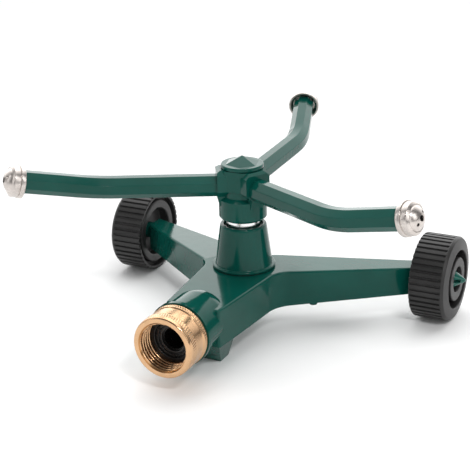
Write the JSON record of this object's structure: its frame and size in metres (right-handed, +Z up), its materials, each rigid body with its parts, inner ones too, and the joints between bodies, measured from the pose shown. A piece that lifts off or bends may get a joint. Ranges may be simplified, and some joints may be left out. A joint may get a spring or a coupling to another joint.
{
  "type": "garden sprinkler",
  "caption": "Rotary lawn sprinkler: bent octagonal arms with nozzle caps turn on a post over a cast star base with wheels, a foot and a swivel hose coupling.",
  "frame": {"origin": "middle of the whole object's box, on the surface that it stands on", "axes": "-Y points out of the hose coupling's mouth, X runs along the wheel axle, +Z is up"},
  "size_m": [0.2304, 0.222, 0.1042],
  "materials": {
    "green_paint": "gloss dark green enamel on die-cast metal",
    "green_plastic": "gloss green moulded pin",
    "brass": "satin turned brass",
    "rubber": "matt black rubber",
    "black_plastic": "matt black moulded plastic",
    "wheel_plastic": "matt dark grey moulded plastic",
    "nozzle_metal": "satin nickel-like turned metal",
    "bright_metal": "bright turned metal",
    "steel": "turned steel",
    "white_plastic": "low-friction white plastic"
  },
  "bodies": {
    "base": {"base_casting": "green_paint", "inlet_sleeve": "black_plastic", "sleeve_seal": "rubber", "riser_post": "green_paint", "post_gasket": "rubber", "spindle": "steel", "thrust_ring": "white_plastic", "retaining_washer": "steel", "retaining_nut": "brass", "axle_right": "green_plastic", "axle_left": "green_plastic"},
    "rotor": {"rotor_hub": "green_paint", "bearing_bush": "bright_metal", "lower_seal": "rubber", "upper_seal": "rubber", "upper_bush": "brass", "cap_seal": "rubber", "hub_cap": "green_paint", "arm_right": "green_paint", "arm_back": "green_paint", "arm_left": "green_paint", "nozzle_seal_right": "rubber", "nozzle_seal_back": "rubber", "nozzle_seal_left": "rubber"},
    "coupling": {"swivel_nut": "brass", "swivel_ring": "steel", "hose_washer": "rubber"},
    "wheel_right": {"wheel_right": "wheel_plastic"},
    "wheel_left": {"wheel_left": "wheel_plastic"},
    "nozzle_right": {"nozzle_cap_right": "nozzle_metal"},
    "nozzle_back": {"nozzle_cap_back": "nozzle_metal"},
    "nozzle_left": {"nozzle_cap_left": "nozzle_metal"}
  },
  "joints": [
    {"name": "rotor_spin", "type": "hinge", "parent": "base", "child": "rotor", "pos_m": [-0.00405, -0.01639, 0.08], "axis": [0, 0, 1], "continuous": true},
    {"name": "wheel_right_spin", "type": "hinge", "parent": "base", "child": "wheel_right", "pos_m": [0.09215, 0.03791, 0.024], "axis": [1, 0, 0], "continuous": true},
    {"name": "wheel_left_spin", "type": "hinge", "parent": "base", "child": "wheel_left", "pos_m": [-0.10025, 0.03791, 0.024], "axis": [1, 0, 0], "continuous": true},
    {"name": "coupling_spin", "type": "hinge", "parent": "base", "child": "coupling", "pos_m": [-0.00405, -0.10139, 0.0258], "axis": [0, 1, 0], "continuous": true},
    {"name": "nozzle_right_turn", "type": "hinge", "parent": "rotor", "child": "nozzle_right", "pos_m": [0.10537, -0.06195, 0.09477], "axis": [0.9558, -0.186, 0.2279], "range_deg": [-180, 180]},
    {"name": "nozzle_back_turn", "type": "hinge", "parent": "rotor", "child": "nozzle_back", "pos_m": [-0.01931, 0.10115, 0.09477], "axis": [-0.3169, 0.9207, 0.2279], "range_deg": [-180, 180]},
    {"name": "nozzle_left_turn", "type": "hinge", "parent": "rotor", "child": "nozzle_left", "pos_m": [-0.09821, -0.08838, 0.09477], "axis": [-0.6388, -0.7348, 0.2279], "range_deg": [-180, 180]}
  ]
}
